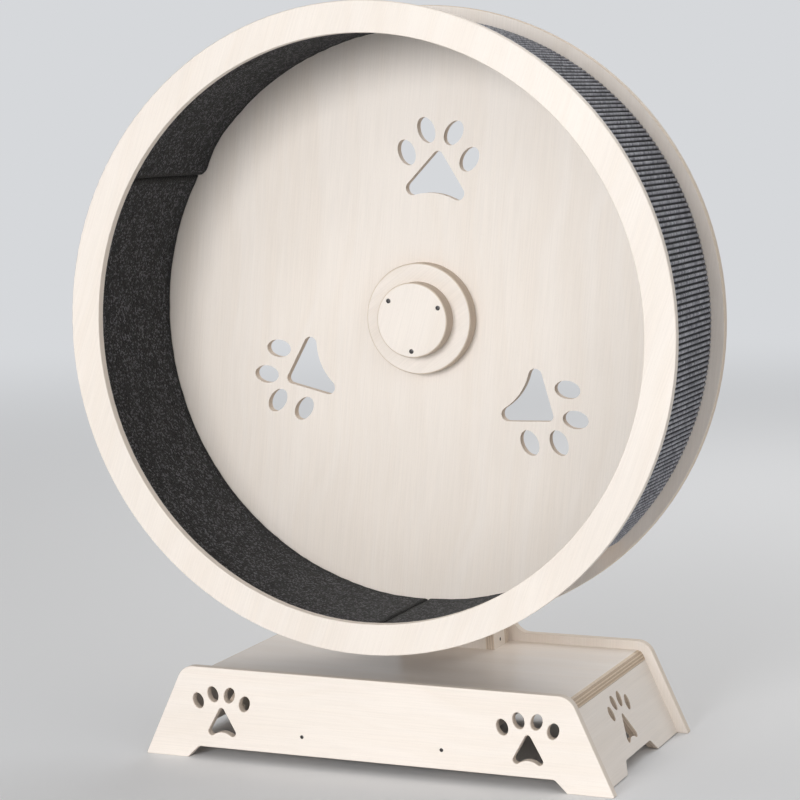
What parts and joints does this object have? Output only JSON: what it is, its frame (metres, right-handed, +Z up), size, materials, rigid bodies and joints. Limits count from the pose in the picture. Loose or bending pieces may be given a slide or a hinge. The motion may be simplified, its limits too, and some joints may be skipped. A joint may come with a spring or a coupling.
{
  "type": "cat exercise wheel",
  "caption": "Free-standing plywood running wheel for a cat, carpeted inside, turning on ball bearings on a fixed axle that a post on a low wide base carries.",
  "frame": {"origin": "on the floor, at the middle of the whole object's length and depth", "axes": "+Z up, +Y from the open front to the back along the axle, +X to the right as seen by someone facing the open front"},
  "size_m": [1, 0.45, 1.1945],
  "materials": {
    "birch_plywood": "pale whitewashed birch plywood, satin lacquer, layered edges",
    "bent_plywood": "bare bent plywood",
    "carpet": "short charcoal loop carpet with light flecks",
    "grip_mat": "ribbed grey-blue woven mat",
    "beech": "bare fluted dowel",
    "zinc_steel": "zinc plated",
    "bearing_steel": "ground and polished",
    "seal_rubber": "matt black",
    "cage_nylon": "natural nylon",
    "insert_brass": "turned"
  },
  "bodies": {
    "stand": {"axle": "zinc_steel", "axle_flange_plate": "zinc_steel", "axle_front_nut": "zinc_steel", "axle_front_washer": "zinc_steel", "axle_rear_nut": "zinc_steel", "axle_rear_washer": "zinc_steel", "axle_sleeve": "zinc_steel", "bearing_spacer": "zinc_steel", "column_bolts": "zinc_steel", "column_nuts": "zinc_steel", "column_packer": "birch_plywood", "deck": "birch_plywood", "flange_plate_screws": "zinc_steel", "foot_block_screws": "zinc_steel", "front_bearing_inner_ring": "bearing_steel", "front_board": "birch_plywood", "front_dowels": "beech", "front_stretcher_screws": "zinc_steel", "left_end_board": "birch_plywood", "left_stretcher": "birch_plywood", "post_back_panel": "birch_plywood", "post_foot_block": "birch_plywood", "post_foot_screws": "zinc_steel", "post_front_panel": "birch_plywood", "post_left_side": "birch_plywood", "post_right_side": "birch_plywood", "post_top_panel": "birch_plywood", "post_tube": "zinc_steel", "rear_bearing_inner_ring": "bearing_steel", "rear_board": "birch_plywood", "rear_dowels": "beech", "rear_stretcher_screws": "zinc_steel", "right_end_board": "birch_plywood", "right_stretcher": "birch_plywood"},
    "wheel": {"front_ring": "birch_plywood", "back_disc": "birch_plywood", "drum_panel_top": "bent_plywood", "drum_panel_left": "bent_plywood", "drum_panel_right": "bent_plywood", "running_liner_top": "carpet", "running_liner_left": "carpet", "running_liner_right": "carpet", "outer_grip_mat": "grip_mat", "hub_flange": "birch_plywood", "hub_cap": "birch_plywood", "hub_cap_screws": "zinc_steel", "hub_rear_plate": "birch_plywood", "hub_bolts": "zinc_steel", "hub_insert_nuts": "insert_brass", "front_bearing_outer_ring": "bearing_steel", "front_bearing_seals": "seal_rubber", "rear_bearing_outer_ring": "bearing_steel", "rear_bearing_seals": "seal_rubber"},
    "bearing_cages": {"front_bearing_balls": "bearing_steel", "front_bearing_cage": "cage_nylon", "rear_bearing_balls": "bearing_steel", "rear_bearing_cage": "cage_nylon"}
  },
  "joints": [
    {"name": "wheel_spin", "type": "hinge", "parent": "stand", "child": "wheel", "pos_m": [0, 0, 0.6945], "axis": [0, 1, 0], "continuous": true},
    {"name": "cage_spin", "type": "hinge", "parent": "stand", "child": "bearing_cages", "pos_m": [0, 0, 0.6945], "axis": [0, 1, 0], "continuous": true}
  ],
  "couplings": [
    {"joint": "cage_spin", "follows": "wheel_spin", "ratio": 0.6031}
  ]
}
